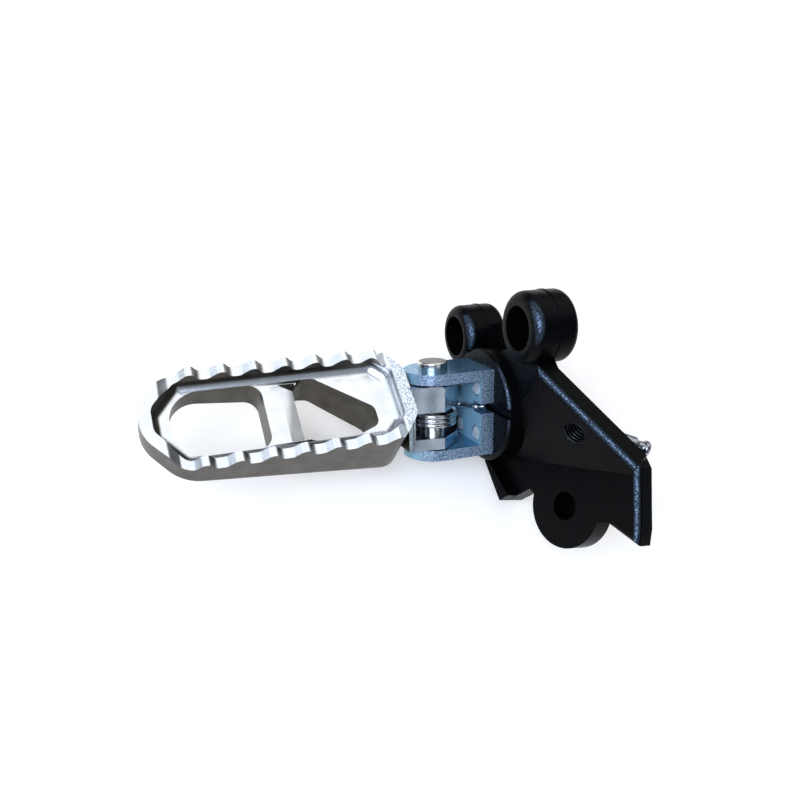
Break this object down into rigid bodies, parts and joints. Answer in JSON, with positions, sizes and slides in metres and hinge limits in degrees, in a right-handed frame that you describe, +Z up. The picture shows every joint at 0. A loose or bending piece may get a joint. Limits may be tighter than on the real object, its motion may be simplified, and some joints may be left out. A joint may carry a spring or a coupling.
{
  "type": "motorcycle footpeg",
  "caption": "Folding footpeg with an open toothed tread, sprung on a slanted pin in a clevis that is screwed to a black cast frame bracket.",
  "frame": {"origin": "axis of the upper lug bore, on the bracket's inboard mounting face", "axes": "+X forward, +Y outboard along the lug bores, +Z up, with the tread level"},
  "size_m": [0.1232, 0.1705, 0.0827],
  "materials": {
    "cast_peg": "bright blasted casting",
    "zinc_clevis": "bluish zinc plate",
    "turned_steel": "bright turned steel",
    "spring_wire": "dark spring steel",
    "black_casting": "black satin coat",
    "zinc_fixings": "bright zinc plate"
  },
  "bodies": {
    "mount": {"bracket": "black_casting", "clevis": "zinc_clevis", "clevis_screws": "zinc_fixings", "pivot_pin": "turned_steel", "pin_clip": "spring_wire", "return_spring": "spring_wire", "thread_insert": "zinc_fixings", "spring_post": "zinc_fixings"},
    "peg": {"footpeg": "cast_peg"}
  },
  "joints": [
    {"name": "peg_fold", "type": "hinge", "parent": "mount", "child": "peg", "pos_m": [-0.005, 0.039, -0.046], "axis": [0.7071, 0, 0.7071], "range_deg": [0, 75], "stiffness_Nm_per_rad": 0.6, "springref_deg": -22.92}
  ]
}
